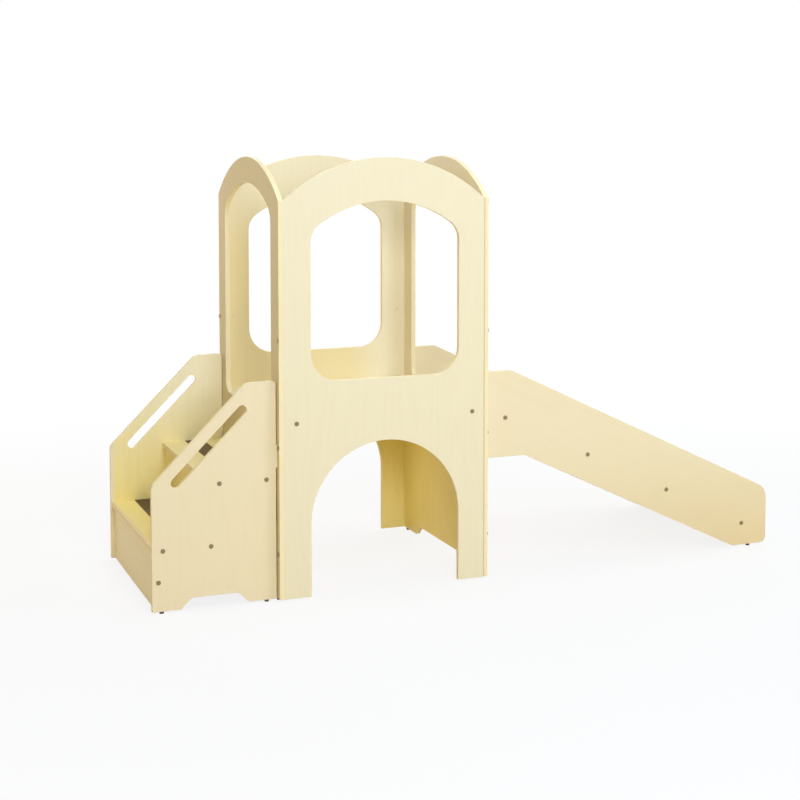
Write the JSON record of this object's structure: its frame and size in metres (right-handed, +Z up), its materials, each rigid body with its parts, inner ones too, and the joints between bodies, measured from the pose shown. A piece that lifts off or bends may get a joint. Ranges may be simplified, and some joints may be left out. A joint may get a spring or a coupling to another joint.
{
  "type": "toddler slide",
  "caption": "Indoor wooden play tower with two steps on one side, an arched cabin with a den below, and a straight slide on the other side.",
  "frame": {"origin": "on the floor, at the middle of the whole length and depth", "axes": "+X from the steps towards the slide's end, +Y from the front doorway towards the back, +Z up"},
  "size_m": [2.488, 0.805, 1.558],
  "materials": {
    "panel": "clear matt lacquer on birch plywood",
    "slide_surface": "smooth clear lacquer on birch plywood",
    "cleat": "planed solid wood",
    "dowel": "fluted beech",
    "bolt": "nickel plated, satin",
    "nut": "zinc plated",
    "grip_strip": "matt, fine grit",
    "glide": "matt"
  },
  "bodies": {
    "root": {"tower_front": "panel", "tower_back": "panel", "tower_stair_side": "panel", "tower_slide_side": "panel", "tower_bolts": "bolt", "tower_nuts": "nut", "tower_dowels": "dowel", "tower_glides": "glide", "platform": "panel", "platform_bolts": "bolt", "platform_nuts": "nut", "cleat_stair_side": "cleat", "cleat_slide_side": "cleat", "cleat_screws": "nut", "stair_side_front": "panel", "stair_side_back": "panel", "tread_lower": "panel", "tread_upper": "panel", "riser_lower": "panel", "riser_upper": "panel", "strip_lower": "grip_strip", "strip_upper": "grip_strip", "stair_rail": "panel", "stair_bolts": "bolt", "stair_nuts": "nut", "stair_dowels": "dowel", "stair_link_bolts": "bolt", "stair_link_nuts": "nut", "stair_glides": "glide", "slide_side_front": "panel", "slide_side_back": "panel", "slide_bed": "slide_surface", "slide_rail": "panel", "slide_bolts": "bolt", "slide_nuts": "nut", "slide_dowels": "dowel", "slide_link_bolts": "bolt", "slide_link_nuts": "nut", "slide_glides": "glide"}
  },
  "joints": []
}
